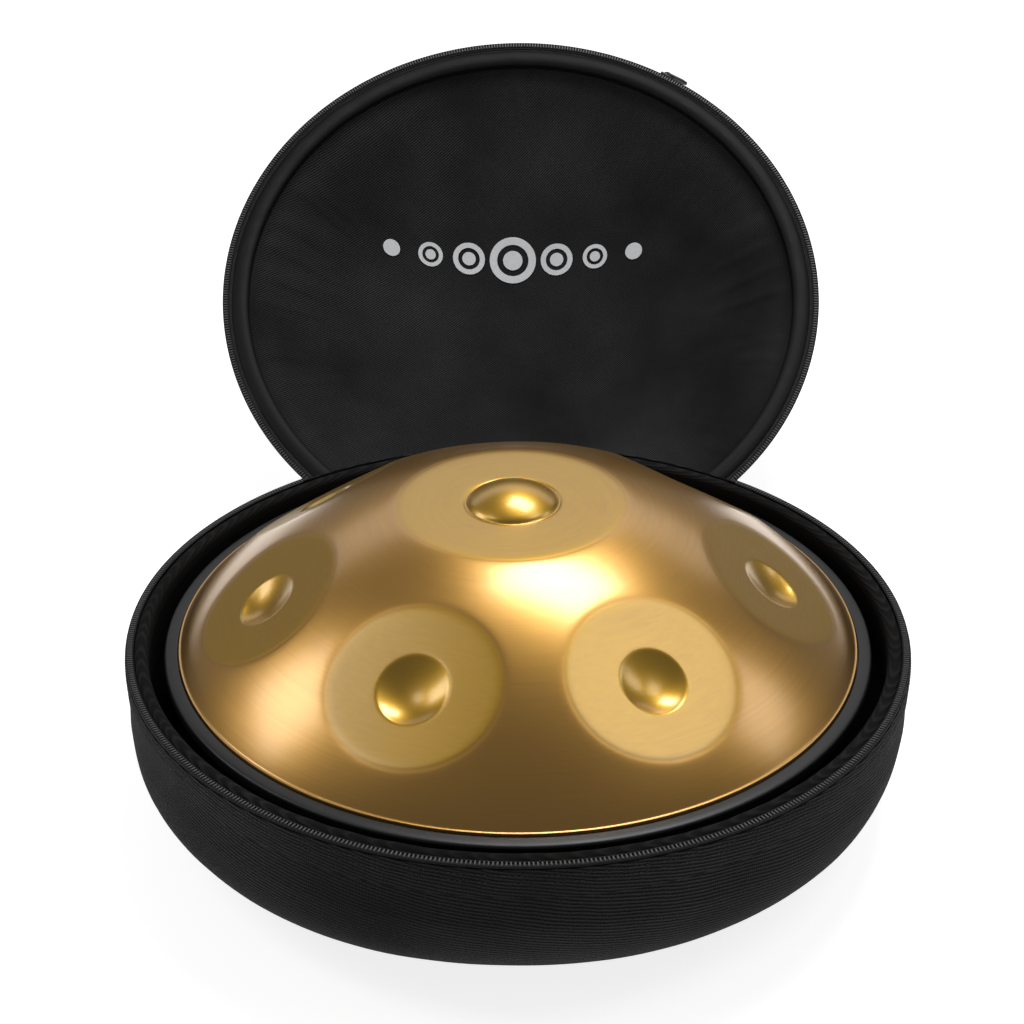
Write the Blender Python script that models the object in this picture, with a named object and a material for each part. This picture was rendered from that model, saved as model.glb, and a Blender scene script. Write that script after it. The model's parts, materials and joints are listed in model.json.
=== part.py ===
"""Handpan lying in its open, fitted zip case.

Metres, +Z up. The origin is the middle of the case's flat bottom, on the ground. The lid's hinge is at +Y.
The instrument lifts straight up out of the case, and the lid swings over it on a strip of cloth at the back.
"""
import math

import bmesh
import bpy
from mathutils import Euler, Matrix, Vector
from mathutils.geometry import delaunay_2d_cdt

# Case base. Its wall bellies out a little above a large rounded bottom corner, then stands upright.
CASE_RADIUS = 0.2890
CASE_FILLET = 0.0980
CASE_FLOOR_RADIUS = 0.1935
CASE_UPRIGHT_FROM = 0.1045
CASE_WALL_TOP = 0.1283
CASE_PAD_TOP = 0.1210
BOTTOM_EDGE_ANGLE = math.radians(4.0)
BELLY_ANGLE = math.radians(80.0)
FLOOR_EDGE_GAP = 0.0006
ROLL_SHOULDER = 0.1262
ROLL_CROWN = 0.0042
CASE_STEPS = 36

# Cloth and foam layers, from the outside in.
CLOTH = 0.0015
FOAM = 0.0120
LAYER_GAP = 0.0003
LID_FOAM = 0.0055
LID_LINING = 0.0012

# Lid, described as it lies closed: a dome over its rim plane.
LID_RADIUS = 0.2870
LID_RISE = 0.1225
LID_DOME_POWER = 1.82
LID_SEAT = 0.1325
LID_EDGE = 0.0026
LID_ARC_STEPS = 7
LID_ROLL_RADIUS = 0.2682
LID_ROLL_HEIGHT = 0.0036
LID_ROLL_HALF_WIDTH = 0.0056
LID_ROLL_BULGE = 0.0030

# Hinge line of the cloth strip, inside the soft back wall, and how far back the lid lies at rest.
HINGE_Y = 0.2730
HINGE_Z = 0.0677
LID_OPEN = math.radians(142.86)
STRIP_HALF_WIDTH = 0.0600
STRIP_SEWN_TOP = 0.0780
STRIP_STEPS = 6
STRIP_OFF_WALL = 0.0014
STRIP_THICK = 0.00105

# Zip. Angles are measured round the rim from the front.
ZIP_END = math.radians(140.0)
ZIP_INNER = 0.2843
ZIP_OUTER = 0.2888
ZIP_THICK = 0.0022
ZIP_STOP_SPAN = math.radians(1.2)
ZIP_STOP_CLEAR = 0.0015
TAPE_OUTER = 0.2900
TAPE_BOTTOM = 0.1050
ZIP_STEPS = 28
SLIDER_AZIMUTH = math.radians(30.7)
SLIDER_INNER = 0.2892
SLIDER_PIN = 0.29405
SLIDER_MID_HEIGHT = 0.0048

# Instrument: two steel domes joined at a flange, with a rubber edge.
STEEL = 0.0012
JOINT_PLANE = 0.1195
GLUE_HALF = 0.0002
FLANGE_GAP = 0.0005
PAN_RADIUS = 0.2507
FLANGE_BEND = 0.2512
FLANGE_RADIUS = 0.2585
SHOULDER = 0.0054
TOP_RISE = 0.1156
BOTTOM_DROP = 0.0982
TOP_POWER = 2.14
TOP_FULLNESS = 0.959
BOTTOM_POWER = 1.73
BOTTOM_FULLNESS = 0.91
TRIM_RADIUS = 0.2622
TRIM_TOP = 0.1245
PAN_STEPS = 48

# Playing surface: one centre bump on a plateau and a ring of flattened fields with hollow dimples.
# The hammered centre sits a few millimetres off the middle, and its plateau leans the same way.
PLATEAU_HEIGHT = 0.2300
PLATEAU_LEAN = 0.0150
CENTRE_BUMP_SPOT = (-0.0040, 0.0015)
CENTRE_BUMP_RADIUS = 0.0335
CENTRE_BUMP_RISE = 0.0125
FIELD_RING = 0.1856
FIELD_RING_FRONT = 0.1795
FIELD_CUT = 0.0060
FIELD_SOFTNESS = 0.0012
DIMPLE_RADIUS = 0.0240
DIMPLE_DEPTH = 0.0050
FIELD_COUNT = 7
FIELD_MIDDLE = math.radians(4.0)
FIELD_FRONT_STEP = math.radians(53.2)
FIELD_FRONT_COUNT = 4
FIELD_DISH = 0.39

# Sound port in the middle of the bottom dome.
PORT_LIP = 0.0520
PORT_RADIUS = 0.0440
PORT_NECK_TOP = 0.0450

# Foam ring that carries the bottom dome.
CRADLE_INNER = 0.1500
CRADLE_OUTER = 0.1980
CRADLE_GAP = 0.0008


def clear_scene():
    for old in list(bpy.data.objects):
        bpy.data.objects.remove(old, do_unlink=True)


def material(name, colour, roughness, metallic=0.0):
    made = bpy.data.materials.new(name)
    made.use_nodes = True
    shader = made.node_tree.nodes["Principled BSDF"]
    shader.inputs["Base Color"].default_value = (*colour, 1.0)
    shader.inputs["Roughness"].default_value = roughness
    shader.inputs["Metallic"].default_value = metallic
    return made


def make_object(name, mesh_data, finish, parent=None, location=(0.0, 0.0, 0.0)):
    """Turn a finished bmesh into a named object."""
    bmesh.ops.recalc_face_normals(mesh_data, faces=mesh_data.faces[:])
    mesh = bpy.data.meshes.new(name)
    mesh_data.to_mesh(mesh)
    mesh_data.free()
    mesh.materials.append(finish)
    mesh.shade_smooth()
    mesh.set_sharp_from_angle(angle=math.radians(35.0))
    made = bpy.data.objects.new(name, mesh)
    bpy.context.scene.collection.objects.link(made)
    made.parent = parent
    made.location = location
    return made


def pivot(name, location, parent=None, tilt=0.0):
    """An empty on a joint's axis."""
    made = bpy.data.objects.new(name, None)
    bpy.context.scene.collection.objects.link(made)
    made.parent = parent
    made.location = location
    made.rotation_euler = Euler((tilt, 0.0, 0.0))
    return made


def at_angle(radius, angle, height):
    """A point round the case, with its angle measured from the front towards +X."""
    return Vector((radius * math.sin(angle), -radius * math.cos(angle), height))


def turned(name, outline, finish, steps=CASE_STEPS, parent=None, shift=(0.0, 0.0, 0.0)):
    """A closed outline of (radius, height) points spun all the way round."""
    work = bmesh.new()
    corners = [work.verts.new((radius, 0.0, height)) for radius, height in outline]
    on_axis = [corner.co.x < 1e-6 for corner in corners]
    edges = []
    for index, corner in enumerate(corners):
        following = (index + 1) % len(corners)
        if not (on_axis[index] and on_axis[following]):
            edges.append(work.edges.new((corner, corners[following])))
    bmesh.ops.spin(
        work, geom=corners + edges, cent=(0, 0, 0), axis=(0, 0, 1), dvec=(0, 0, 0),
        angle=math.tau, steps=steps, use_merge=True,
    )
    bmesh.ops.remove_doubles(work, verts=work.verts[:], dist=1e-6)
    bmesh.ops.translate(work, vec=shift, verts=work.verts[:])
    return make_object(name, work, finish, parent)


def swept_arc(name, outline, finish, first, last, steps, parent=None, shift=(0.0, 0.0, 0.0)):
    """A closed outline of (radius, height) points swept from one angle to another, with closed ends."""
    work = bmesh.new()
    rings = []
    for step in range(steps + 1):
        angle = first + (last - first) * step / steps
        rings.append([work.verts.new(at_angle(radius, angle, height)) for radius, height in outline])
    for near, far in zip(rings, rings[1:]):
        for index in range(len(outline)):
            following = (index + 1) % len(outline)
            work.faces.new((near[index], near[following], far[following], far[index]))
    work.faces.new(rings[0])
    work.faces.new(rings[-1])
    bmesh.ops.translate(work, vec=shift, verts=work.verts[:])
    return make_object(name, work, finish, parent)


def offset_curve(points, distance):
    """Shift an open curve of (radius, height) points to its left by a distance."""
    shifted = []
    for index, (radius, height) in enumerate(points):
        before = points[max(index - 1, 0)]
        after = points[min(index + 1, len(points) - 1)]
        run, climb = after[0] - before[0], after[1] - before[1]
        length = math.hypot(run, climb)
        shifted.append((radius - distance * climb / length, height + distance * run / length))
    return shifted


def keep_above(points, level):
    """Cut a curve that ends by dropping below a level, at that level."""
    kept = []
    for index, (radius, height) in enumerate(points):
        if height >= level:
            kept.append((radius, height))
            continue
        before_radius, before_height = points[index - 1]
        share = (before_height - level) / (before_height - height)
        kept.append((before_radius + (radius - before_radius) * share, level))
        break
    return kept


# ---- Case base ----


def base_wall_curve(depth, top):
    """The wall's line at a depth inside its outer face, from the bottom edge up."""
    radius = CASE_FILLET - depth
    steps = 5
    points = []
    for step in range(steps + 1):
        angle = BOTTOM_EDGE_ANGLE + (BELLY_ANGLE - BOTTOM_EDGE_ANGLE) * step / steps
        points.append((CASE_FLOOR_RADIUS + radius * math.sin(angle), CASE_FILLET - radius * math.cos(angle)))
    points.append((CASE_RADIUS - depth, CASE_UPRIGHT_FROM))
    points.append((CASE_RADIUS - depth, top))
    return points


def base_layer(name, near, far, top, finish):
    outline = base_wall_curve(near, top) + base_wall_curve(far, top)[::-1]
    return turned(name, outline, finish)


def floor_disc(name, near, far, finish):
    radius = CASE_FLOOR_RADIUS + (CASE_FILLET - far) * math.sin(BOTTOM_EDGE_ANGLE) - FLOOR_EDGE_GAP
    return turned(name, [(0.0, near), (radius, near), (radius, far), (0.0, far)], finish)


def bottom_dome_height(radius):
    share = (radius / PAN_RADIUS) ** BOTTOM_POWER
    return JOINT_PLANE - SHOULDER - BOTTOM_DROP * (1.0 - share) ** BOTTOM_FULLNESS


def build_base(cloth, lining, foam, tape, nylon, metal):
    outer = (0.0, CLOTH)
    middle = (CLOTH + LAYER_GAP, CLOTH + LAYER_GAP + FOAM)
    inner = (middle[1] + LAYER_GAP, middle[1] + LAYER_GAP + CLOTH)

    floor_disc("base_bottom_panel", *outer, cloth)
    floor_disc("base_foam_floor", *middle, foam)
    floor_disc("base_lining_floor", *inner, lining)
    base_layer("base_outer_wall", *outer, CASE_WALL_TOP, cloth)
    base_layer("base_foam_wall", *middle, CASE_PAD_TOP, foam)
    base_layer("base_lining_wall", *inner, CASE_PAD_TOP, lining)

    # Padded roll round the mouth, resting on the wall's foam.
    roll_inner = CASE_RADIUS - inner[1]
    roll_outer = ZIP_INNER - LAYER_GAP
    roll_middle = (roll_inner + roll_outer) / 2
    roll_half = (roll_outer - roll_inner) / 2
    crown = []
    for step in range(6):
        angle = math.pi * step / 5
        crown.append((roll_middle + roll_half * math.cos(angle), ROLL_SHOULDER + ROLL_CROWN * math.sin(angle)))
    roll_base = CASE_PAD_TOP + LAYER_GAP
    wall_inside = CASE_RADIUS - middle[0]
    foot = [(roll_inner, roll_base), (wall_inside, roll_base), (wall_inside, ROLL_SHOULDER)]
    turned("base_rim_roll", crown + foot, lining)

    # Foam ring whose top follows the bottom dome.
    top = []
    for step in range(5):
        radius = CRADLE_INNER + (CRADLE_OUTER - CRADLE_INNER) * step / 4
        top.append((radius, bottom_dome_height(radius)))
    top = offset_curve(top, -CRADLE_GAP)
    foot_height = inner[1] + LAYER_GAP
    turned("cradle_ring", [(top[0][0], foot_height), (top[-1][0], foot_height)] + top[::-1], foam)

    # Zip: stitched tape on the outside of the wall, coil on its top edge, a stop at each end.
    tape_inner = CASE_RADIUS + LAYER_GAP
    tape_outline = [(tape_inner, TAPE_BOTTOM), (TAPE_OUTER, TAPE_BOTTOM),
                    (TAPE_OUTER, CASE_WALL_TOP), (tape_inner, CASE_WALL_TOP)]
    swept_arc("base_zip_tape", tape_outline, tape, -ZIP_END, ZIP_END, ZIP_STEPS)
    low = CASE_WALL_TOP + LAYER_GAP
    coil = [(ZIP_INNER, low), (ZIP_OUTER, low), (ZIP_OUTER, low + ZIP_THICK), (ZIP_INNER, low + ZIP_THICK)]
    build_coil("base", coil, nylon, metal)


def build_coil(side, outline, nylon, metal, parent=None, shift=(0.0, 0.0, 0.0)):
    """Half of the zip's coil and the stop at each of its ends."""
    swept_arc(side + "_zip_coil", outline, nylon, -ZIP_END, ZIP_END, ZIP_STEPS, parent, shift)
    for label, turn in (("left", -1.0), ("right", 1.0)):
        near = turn * (ZIP_END + ZIP_STOP_CLEAR)
        far = near + turn * ZIP_STOP_SPAN
        first, last = min(near, far), max(near, far)
        swept_arc(side + "_zip_stop_" + label, outline, metal, first, last, 1, parent, shift)


# ---- Lid ----


def lid_curve(depth):
    """The lid's dome at a depth inside its outer face, from the crown down to the rim."""
    points = []
    for step in range(LID_ARC_STEPS + 1):
        angle = math.pi / 2 * step / LID_ARC_STEPS
        rise = LID_RISE * max(math.cos(angle), 0.0) ** LID_DOME_POWER
        points.append((LID_RADIUS * math.sin(angle), LID_EDGE + rise))
    if depth == 0.0:
        return points
    shifted = offset_curve(points, -depth)
    shifted[0] = (0.0, shifted[0][1])
    shifted[-1] = (LID_RADIUS - depth, LID_EDGE - 0.0100)
    return keep_above(shifted, LID_EDGE)


def lid_layer(name, near, far, finish, parent, shift):
    return turned(name, lid_curve(near) + lid_curve(far)[::-1], finish, CASE_STEPS, parent, shift)


def build_lid(cloth, lining, foam, tape, nylon, metal, rubber):
    hinge = pivot("lid_pivot", (0.0, HINGE_Y, HINGE_Z), tilt=-LID_OPEN)
    rim_centre = (0.0, -HINGE_Y, LID_SEAT - HINGE_Z)

    foam_far = CLOTH + LAYER_GAP + LID_FOAM
    lining_far = foam_far + LAYER_GAP + LID_LINING
    lid_layer("lid_outer_panel", 0.0, CLOTH, cloth, hinge, rim_centre)
    lid_layer("lid_foam", CLOTH + LAYER_GAP, foam_far, foam, hinge, rim_centre)
    lid_layer("lid_lining", foam_far + LAYER_GAP, lining_far, lining, hinge, rim_centre)

    # Padded roll inside the rim: a soft front that faces the opening, and a back that follows the lining.
    roll = []
    for step in range(6):
        angle = math.pi * step / 5
        radius = LID_ROLL_RADIUS + LID_ROLL_HALF_WIDTH * math.cos(angle)
        roll.append((radius, LID_ROLL_HEIGHT - LID_ROLL_BULGE * math.sin(angle)))
    roll += [(0.2622, 0.0095), (0.2640, 0.0112), (0.2690, 0.0060)]
    turned("lid_rim_roll", roll, lining, CASE_STEPS, hinge, rim_centre)

    tape_outline = [(0.2750, 0.0014), (0.2838, 0.0014), (0.2838, 0.0023), (0.2750, 0.0023)]
    swept_arc("lid_zip_tape", tape_outline, tape, -ZIP_END, ZIP_END, ZIP_STEPS, hinge, rim_centre)
    coil = [(ZIP_INNER, 0.0001), (ZIP_OUTER, 0.0001), (ZIP_OUTER, ZIP_THICK), (ZIP_INNER, ZIP_THICK)]
    build_coil("lid", coil, nylon, metal, hinge, rim_centre)

    build_slider(hinge, rim_centre, metal, rubber)
    build_hinge_strip(hinge, cloth)


def box(name, low, high, finish, parent=None):
    work = bmesh.new()
    bmesh.ops.create_cube(work, size=1.0)
    size = [far - near for near, far in zip(low, high)]
    middle = [(far + near) / 2 for near, far in zip(low, high)]
    bmesh.ops.scale(work, vec=size, verts=work.verts[:])
    bmesh.ops.translate(work, vec=middle, verts=work.verts[:])
    return make_object(name, work, finish, parent)


def hide_cutter(tool):
    tool.hide_render = True
    tool.display_type = "WIRE"


def add_boolean(target, tool, operation):
    cut = target.modifiers.new(operation.lower(), "BOOLEAN")
    cut.operation = operation
    cut.solver = "EXACT"
    cut.object = tool


def build_slider(hinge, rim_centre, metal, rubber):
    """Zip slider on the lid's edge with its bail, and the pull that hangs on the bail.

    Inside both pivots, X runs along the rim, Y points outwards and Z along the lid's closing axis.
    """
    ring = pivot("zip_run_pivot", rim_centre, hinge)
    frame = pivot("slider_place", at_angle(SLIDER_PIN, SLIDER_AZIMUTH, SLIDER_MID_HEIGHT), ring)
    frame.rotation_euler = Euler((0.0, 0.0, SLIDER_AZIMUTH + math.pi))

    top = SLIDER_INNER + 0.0033 - SLIDER_PIN
    body = box("zip_slider", (-0.0065, SLIDER_INNER - SLIDER_PIN, -0.0043), (0.0065, top, 0.0043), metal, frame)
    bail = bmesh.new()
    outside = [(-0.0050, top - 0.0010), (-0.0050, 0.0018), (-0.0038, 0.0030),
               (0.0038, 0.0030), (0.0050, 0.0018), (0.0050, top - 0.0010)]
    inside = [(0.0036, top - 0.0010), (0.0036, 0.0012), (0.0032, 0.0016),
              (-0.0032, 0.0016), (-0.0036, 0.0012), (-0.0036, top - 0.0010)]
    face = bail.faces.new([bail.verts.new((along, out, -0.0011)) for along, out in outside + inside])
    grown = bmesh.ops.extrude_face_region(bail, geom=[face])
    raised = [item for item in grown["geom"] if isinstance(item, bmesh.types.BMVert)]
    bmesh.ops.translate(bail, vec=(0, 0, 0.0022), verts=raised)
    tool = make_object("slider_bail", bail, metal, frame)
    hide_cutter(tool)
    add_boolean(body, tool, "UNION")

    # The pull's eye is a window that straddles one leg of the bail.
    pull = box("zip_pull", (-0.0260, -0.00065, -0.0032), (0.0008, 0.00065, 0.0032), rubber, frame)
    window = box("pull_window", (-0.0070, -0.0030, -0.0015), (-0.0008, 0.0030, 0.0015), rubber, frame)
    hide_cutter(window)
    add_boolean(pull, window, "DIFFERENCE")


def build_hinge_strip(hinge, cloth):
    """Strip of cloth sewn to the back of the base and to the low edge of the open lid."""
    wall = CASE_RADIUS + STRIP_OFF_WALL
    lid_edge = LID_RADIUS - 0.0015
    to_world = Matrix.Translation(hinge.location) @ Euler((-LID_OPEN, 0.0, 0.0)).to_matrix().to_4x4()
    work = bmesh.new()
    grid = []
    for column in range(STRIP_STEPS + 1):
        across = STRIP_HALF_WIDTH * (2.0 * column / STRIP_STEPS - 1.0)
        start = Vector((across, math.sqrt(wall ** 2 - across ** 2), STRIP_SEWN_TOP))
        rim_run = math.sqrt(lid_edge ** 2 - across ** 2)
        lid_point = Vector((across, rim_run - HINGE_Y, LID_SEAT - HINGE_Z + 0.0012))
        finish_point = to_world @ lid_point
        first_pull = start + Vector((0.0, 0.0012, -0.0300))
        second_pull = finish_point + Vector((0.0, -0.0060, 0.0180))
        line = []
        for row in range(STRIP_STEPS + 1):
            share = row / STRIP_STEPS
            rest = 1.0 - share
            spot = start * rest ** 3 + first_pull * 3 * rest ** 2 * share
            spot += second_pull * 3 * rest * share ** 2 + finish_point * share ** 3
            line.append(work.verts.new(spot))
        grid.append(line)
    for left, right in zip(grid, grid[1:]):
        for row in range(STRIP_STEPS):
            work.faces.new((left[row], left[row + 1], right[row + 1], right[row]))
    strip = make_object("hinge_gusset", work, cloth)
    thicken = strip.modifiers.new("cloth thickness", "SOLIDIFY")
    thicken.thickness = STRIP_THICK
    thicken.offset = 0.0


# ---- Instrument ----


def top_dome_height(radius):
    share = min(radius / PAN_RADIUS, 1.0) ** TOP_POWER
    return JOINT_PLANE + SHOULDER + TOP_RISE * (1.0 - share) ** TOP_FULLNESS


def soft_min(first, second, softness):
    """The lower of two heights, with the crease between them rounded."""
    gap = (first - second) / softness
    if abs(gap) > 30.0:
        return min(first, second)
    return second - softness * math.log(1.0 + math.exp(-gap))


def hollow(distance, radius, depth):
    """A round dish: full depth in the middle, fading out smoothly at its edge."""
    if distance >= radius:
        return 0.0
    return depth * (1.0 - (distance / radius) ** 2) ** 1.5


def field_places():
    """Angle and ring radius of each field: four in front in even steps, the rest evenly round the back."""
    back_step = (math.tau - FIELD_FRONT_STEP * (FIELD_FRONT_COUNT - 1)) / (FIELD_COUNT - FIELD_FRONT_COUNT + 1)
    first = FIELD_MIDDLE - FIELD_FRONT_STEP * (FIELD_FRONT_COUNT - 1) / 2
    for index in range(FIELD_COUNT):
        if index < FIELD_FRONT_COUNT:
            angle = first + FIELD_FRONT_STEP * index
        else:
            angle = first - back_step * (FIELD_COUNT - index)
        ring = FIELD_RING_FRONT if abs(angle) < FIELD_FRONT_STEP else FIELD_RING
        yield angle, ring


def playing_height(spot):
    """Height of the top dome's outer face over a point of the plan."""
    radius = spot.length
    plateau = PLATEAU_HEIGHT + PLATEAU_LEAN * spot.x
    height = soft_min(top_dome_height(radius), plateau, FIELD_SOFTNESS)
    height += hollow((spot - Vector(CENTRE_BUMP_SPOT)).length, CENTRE_BUMP_RADIUS, CENTRE_BUMP_RISE)
    edge = 0.0005
    for angle, ring in field_places():
        outward = at_angle(1.0, angle, 0.0).to_2d()
        centre = outward * ring
        if (spot - centre).length > 0.085:
            continue
        slope = (top_dome_height(ring + edge) - top_dome_height(ring - edge)) / (2 * edge)
        stretch = math.sqrt(1.0 + slope ** 2)
        run = (spot - centre).dot(outward)
        flat = top_dome_height(ring) - FIELD_CUT * stretch + slope * run
        dished = flat + FIELD_DISH * stretch * (run * stretch) ** 2
        height = soft_min(height, dished, FIELD_SOFTNESS)
        across = math.hypot((spot - centre).cross(outward), run * stretch)
        height -= hollow(across, DIMPLE_RADIUS, DIMPLE_DEPTH)
    return height


def plan_points():
    """The top dome's plan: rings of points round the centre and round each field, and the flange's edges."""
    middle = Vector(CENTRE_BUMP_SPOT)
    points = [middle]
    edges = []
    rings = [(0.017, 8), (CENTRE_BUMP_RADIUS, 14), (0.040, 14), (0.062, 16), (0.082, 24), (0.100, 24)]
    for radius, count in rings:
        for index in range(count):
            points.append(middle + at_angle(radius, math.tau * index / count, 0.0).to_2d())
    field_rings = [(0.012, 6), (DIMPLE_RADIUS, 12), (0.031, 12), (0.046, 12), (0.059, 16)]
    for angle, ring in field_places():
        centre = at_angle(ring, angle, 0.0).to_2d()
        points.append(centre)
        for radius, count in field_rings:
            for index in range(count):
                points.append(centre + at_angle(radius, angle + math.tau * index / count, 0.0).to_2d())
        between = angle + math.pi / FIELD_COUNT
        for radius in (0.128, 0.160, 0.205, 0.232):
            points.append(at_angle(radius, between, 0.0).to_2d())
    for radius in (PAN_RADIUS, FLANGE_BEND, FLANGE_RADIUS):
        first = len(points)
        for index in range(PAN_STEPS):
            points.append(at_angle(radius, math.tau * index / PAN_STEPS, 0.0).to_2d())
            edges.append((first + index, first + (index + 1) % PAN_STEPS))
    return points, edges


def build_top_shell(steel, parent):
    points, edges = plan_points()
    spots, _, faces, _, _, _ = delaunay_2d_cdt(points, edges, [], 0, 1e-6)
    flange_top = JOINT_PLANE + FLANGE_GAP + STEEL
    work = bmesh.new()
    corners = []
    for spot in spots:
        on_flange = spot.length > (PAN_RADIUS + FLANGE_BEND) / 2
        height = flange_top if on_flange else playing_height(spot)
        corners.append(work.verts.new((spot.x, spot.y, height)))
    for face in faces:
        work.faces.new([corners[index] for index in face])
    for face in work.faces:
        face.normal_update()
        if face.normal.z < 0.0:
            face.normal_flip()
    mesh = bpy.data.meshes.new("top_shell")
    work.to_mesh(mesh)
    work.free()
    mesh.materials.append(steel)
    mesh.shade_smooth()
    shell = bpy.data.objects.new("top_shell", mesh)
    bpy.context.scene.collection.objects.link(shell)
    shell.parent = parent
    sheet = shell.modifiers.new("sheet steel", "SOLIDIFY")
    sheet.thickness = STEEL
    sheet.offset = -1.0
    return shell


def build_bottom_shell(steel, parent):
    """The bottom dome with its flange, and a port whose neck turns up into the instrument."""
    flange = JOINT_PLANE - FLANGE_GAP - STEEL
    curve = [(FLANGE_RADIUS, flange), (FLANGE_BEND, flange), (PAN_RADIUS, JOINT_PLANE - SHOULDER)]
    steps = 7
    port_angle = math.asin((PORT_LIP + 0.012) / PAN_RADIUS)
    for step in range(1, steps + 1):
        angle = math.pi / 2 + (port_angle - math.pi / 2) * step / steps
        radius = PAN_RADIUS * math.sin(angle)
        curve.append((radius, bottom_dome_height(radius)))
    lip = bottom_dome_height(PORT_LIP)
    curve += [(PORT_LIP, lip), (PORT_LIP - 0.0040, lip + 0.0006), (PORT_RADIUS + 0.0012, lip + 0.0040),
              (PORT_RADIUS, lip + 0.0100), (PORT_RADIUS, PORT_NECK_TOP)]
    inside = offset_curve(curve, -STEEL)
    inside[0] = (FLANGE_RADIUS, flange + STEEL)
    turned("bottom_shell", curve + inside[::-1], steel, PAN_STEPS, parent)


def build_instrument(steel, rubber, glue):
    parent = pivot("pan_lift_guide", (0.0, 0.0, 0.0))
    build_top_shell(steel, parent)
    build_bottom_shell(steel, parent)
    glue_outline = [(FLANGE_BEND + 0.0020, JOINT_PLANE - GLUE_HALF), (FLANGE_RADIUS - 0.0005, JOINT_PLANE - GLUE_HALF),
                    (FLANGE_RADIUS - 0.0005, JOINT_PLANE + GLUE_HALF), (FLANGE_BEND + 0.0020, JOINT_PLANE + GLUE_HALF)]
    turned("rim_adhesive", glue_outline, glue, PAN_STEPS, parent)

    # Rubber channel that grips both flanges: its upper half, mirrored below the joint plane.
    slot = FLANGE_GAP + STEEL + LAYER_GAP
    tip = FLANGE_BEND + 0.0009
    upper = [(FLANGE_RADIUS + LAYER_GAP, slot), (tip, slot), (tip, TRIM_TOP - JOINT_PLANE),
             (0.2600, TRIM_TOP - JOINT_PLANE - 0.0012), (TRIM_RADIUS, 0.0018)]
    lower = [(radius, -height) for radius, height in upper[::-1]]
    outline = [(radius, JOINT_PLANE + height) for radius, height in upper + lower]
    turned("rim_trim", outline, rubber, PAN_STEPS, parent)


def main():
    clear_scene()
    cloth = material("woven polyester", (0.018, 0.018, 0.020), 0.85)
    lining = material("satin lining", (0.022, 0.022, 0.025), 0.55)
    foam = material("closed cell foam", (0.060, 0.060, 0.065), 0.90)
    tape = material("zip tape", (0.016, 0.016, 0.018), 0.80)
    nylon = material("moulded nylon", (0.020, 0.020, 0.022), 0.45)
    metal = material("blackened metal", (0.040, 0.040, 0.044), 0.35, 0.9)
    rubber = material("moulded rubber", (0.060, 0.060, 0.066), 0.60)
    steel = material("nitrided steel", (0.560, 0.380, 0.130), 0.32, 1.0)
    glue = material("flange adhesive", (0.300, 0.280, 0.240), 0.50)
    build_base(cloth, lining, foam, tape, nylon, metal)
    build_lid(cloth, lining, foam, tape, nylon, metal, rubber)
    build_instrument(steel, rubber, glue)


main()
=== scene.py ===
import json
import math

import bmesh
import bpy
from mathutils import Euler, Matrix, Vector, noise


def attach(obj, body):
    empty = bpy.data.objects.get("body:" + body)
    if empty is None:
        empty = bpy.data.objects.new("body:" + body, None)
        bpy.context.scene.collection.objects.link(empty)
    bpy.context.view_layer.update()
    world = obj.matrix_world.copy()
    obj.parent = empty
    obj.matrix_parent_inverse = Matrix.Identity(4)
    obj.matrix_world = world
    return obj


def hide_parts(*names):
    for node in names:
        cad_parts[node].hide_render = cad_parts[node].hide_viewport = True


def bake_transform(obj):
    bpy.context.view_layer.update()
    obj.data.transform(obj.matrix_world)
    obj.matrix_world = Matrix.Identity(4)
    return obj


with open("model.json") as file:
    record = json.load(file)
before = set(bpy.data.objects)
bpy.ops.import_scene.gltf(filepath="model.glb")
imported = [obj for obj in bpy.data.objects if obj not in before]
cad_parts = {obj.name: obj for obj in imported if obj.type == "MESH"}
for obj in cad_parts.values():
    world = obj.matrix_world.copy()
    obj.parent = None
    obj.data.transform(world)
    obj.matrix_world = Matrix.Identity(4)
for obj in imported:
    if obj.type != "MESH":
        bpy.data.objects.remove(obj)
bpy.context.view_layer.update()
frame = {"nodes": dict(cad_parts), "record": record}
joints = {joint["name"]: joint for joint in frame["record"]["behaviour"]["joints"]}
print("frame loaded")


def srgb(code):
    channels = [int(code[i:i + 2], 16) / 255 for i in (1, 3, 5)]
    return tuple(c / 12.92 if c <= 0.04045 else ((c + 0.055) / 1.055) ** 2.4 for c in channels) + (1.0,)


def addNode(tree, kind, values=None, links=None, **settings):
    node = tree.nodes.new(kind)
    for name, value in settings.items():
        setattr(node, name, value)
    for socket, value in (values or {}).items():
        node.inputs[socket].default_value = value
    for socket, source in (links or {}).items():
        tree.links.new(source, node.inputs[socket])
    return node


def newMaterial(name, roughness, metallic=0.0, **uniform):
    material = bpy.data.materials.new(name)
    material.use_nodes = True
    shader = material.node_tree.nodes["Principled BSDF"]
    shader.inputs["Roughness"].default_value = roughness
    shader.inputs["Metallic"].default_value = metallic
    for socket, value in uniform.items():
        shader.inputs[socket.replace("_", " ")].default_value = value
    return material, material.node_tree, shader


def sumNode(tree, operation, first, second=0.0, third=None):
    values, links = {}, {}
    for index, item in enumerate((first, second, third)):
        if item is None:
            continue
        if isinstance(item, (int, float)):
            values[index] = item
        else:
            links[index] = item
    return addNode(tree, "ShaderNodeMath", values, links, operation=operation).outputs[0]


def mixColour(tree, factor, dark, light):
    mix = addNode(tree, "ShaderNodeMix", data_type="RGBA")
    for index, item in ((6, dark), (7, light)):
        if isinstance(item, tuple):
            mix.inputs[index].default_value = item
        else:
            tree.links.new(item, mix.inputs[index])
    tree.links.new(factor, mix.inputs[0])
    return mix.outputs[2]


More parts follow.
